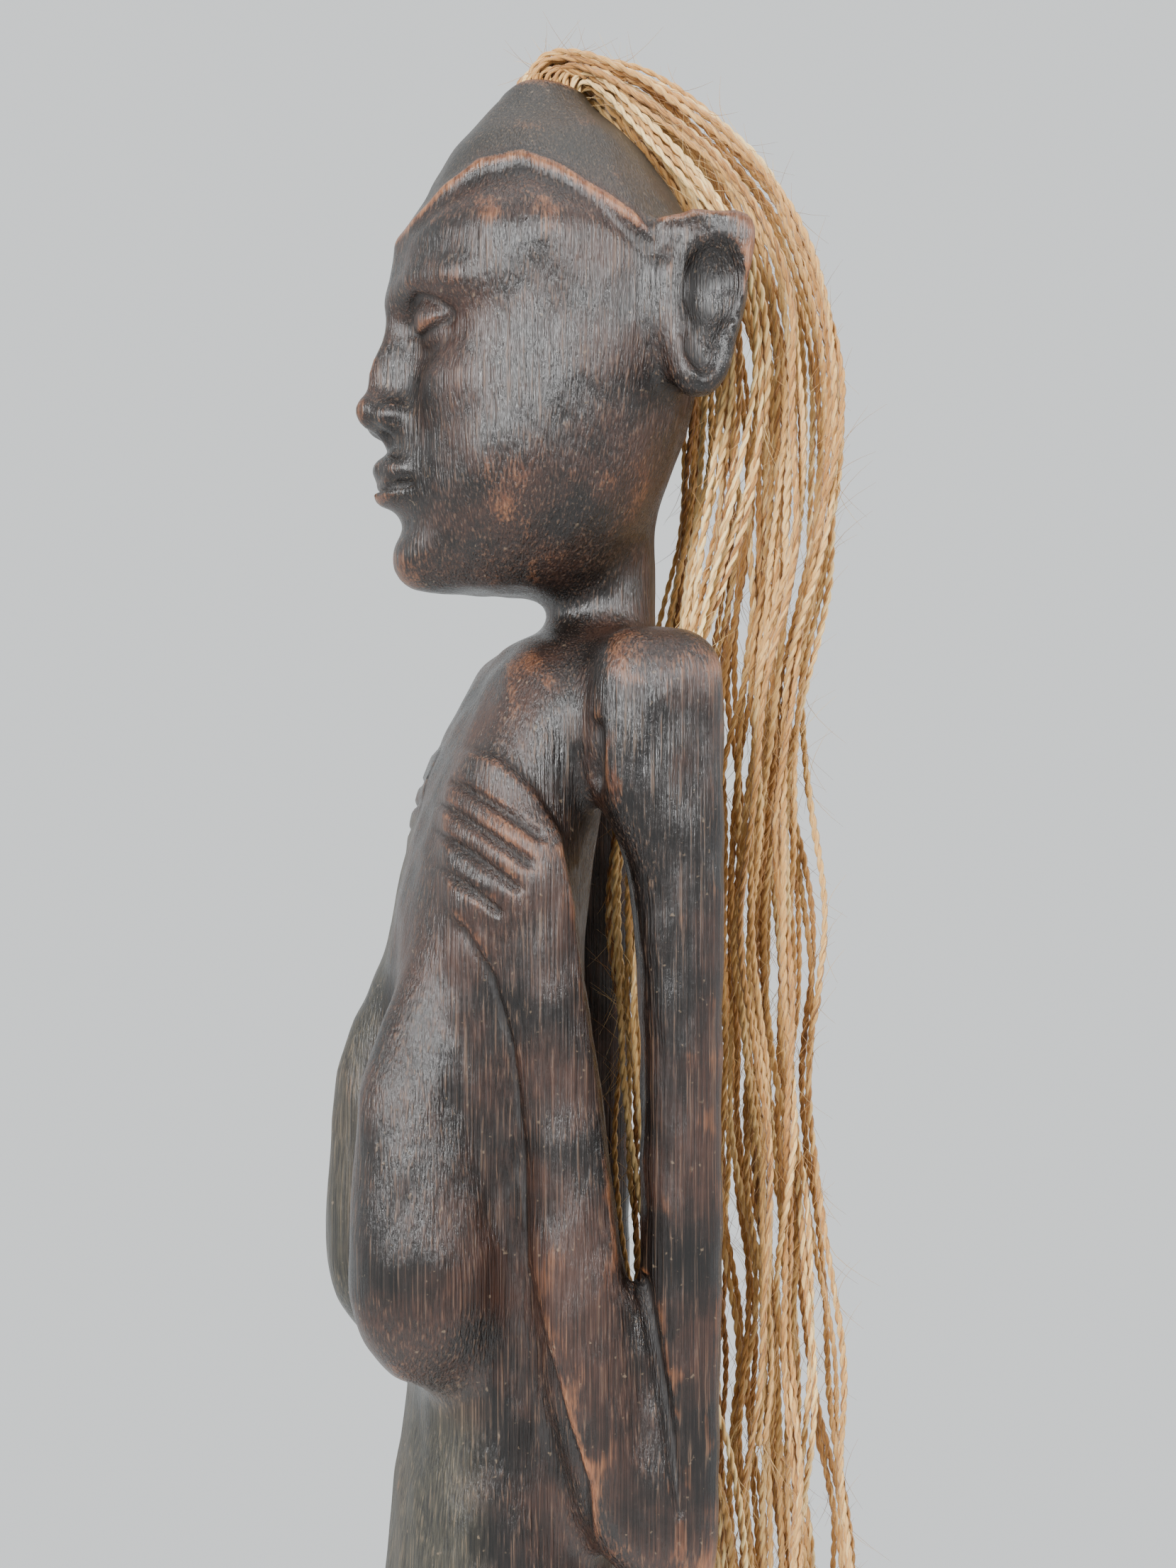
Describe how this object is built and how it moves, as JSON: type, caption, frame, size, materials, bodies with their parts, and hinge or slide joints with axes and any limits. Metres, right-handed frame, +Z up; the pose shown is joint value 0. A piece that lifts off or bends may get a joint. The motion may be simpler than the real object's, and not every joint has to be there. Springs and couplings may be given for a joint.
{
  "type": "carved ancestor figure",
  "caption": "Standing wooden ancestor figure carved from one log, hands on the chest, with long twine hair pegged into its crown.",
  "frame": {"origin": "centre of the round base's flat underside, on the surface that the figure stands on", "axes": "+Z up the log; the figure faces -Y; its left side is +X"},
  "size_m": [0.156, 0.2029, 0.8839],
  "materials": {
    "carved_wood": "waxed dark carved hardwood with worn tan high spots",
    "peg_wood": "whittled bare wood",
    "twine": "dry two-ply bast twine with loose fibres"
  },
  "bodies": {
    "root": {"carved_figure": "carved_wood", "hair_plug": "peg_wood", "hair_root": "twine", "hair_lock_01": "twine", "hair_lock_02": "twine", "hair_lock_03": "twine", "hair_lock_04": "twine", "hair_lock_05": "twine", "hair_lock_06": "twine", "hair_lock_07": "twine", "hair_lock_08": "twine", "hair_lock_09": "twine", "hair_lock_10": "twine", "hair_lock_11": "twine", "hair_lock_12": "twine", "hair_lock_13": "twine", "hair_lock_14": "twine", "hair_lock_15": "twine", "hair_lock_16": "twine", "hair_lock_17": "twine", "hair_lock_18": "twine"}
  },
  "joints": []
}
